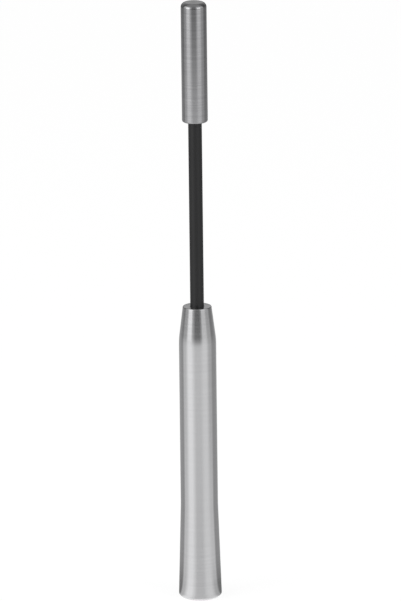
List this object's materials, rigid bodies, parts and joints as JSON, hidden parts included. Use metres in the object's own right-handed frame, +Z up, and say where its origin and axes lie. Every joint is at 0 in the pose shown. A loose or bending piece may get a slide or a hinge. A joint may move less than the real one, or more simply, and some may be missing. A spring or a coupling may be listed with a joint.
{
  "type": "car mast aerial",
  "caption": "Short screw-on roof aerial for a car, with a turned metal handle, a slim black rod that holds the winding, and a plain metal cap on its tip.",
  "frame": {"origin": "centre of the flat ring that the foot stands on, which is the face that seats on the roof base", "axes": "+Z runs up the mast from the foot to the cap; the mast is round about Z, and the ends of the wire lie towards +X"},
  "size_m": [0.0166, 0.0166, 0.2374],
  "materials": {
    "handle_aluminium": "fine turned satin",
    "cap_aluminium": "fine turned and brighter",
    "brass": "turned",
    "seal_rubber": "matt",
    "glass_fibre": "satin",
    "enamelled_copper": "varnished",
    "black_jacket": "smooth matt"
  },
  "bodies": {
    "root": {"handle": "handle_aluminium", "thread_bush": "brass", "foot_seal": "seal_rubber", "neck_seal": "seal_rubber", "neck_ferrule": "brass", "rod_core": "glass_fibre", "winding": "enamelled_copper", "rod_jacket": "black_jacket", "cap_seal": "seal_rubber", "cap_ferrule": "brass", "tip_cap": "cap_aluminium"}
  },
  "joints": []
}
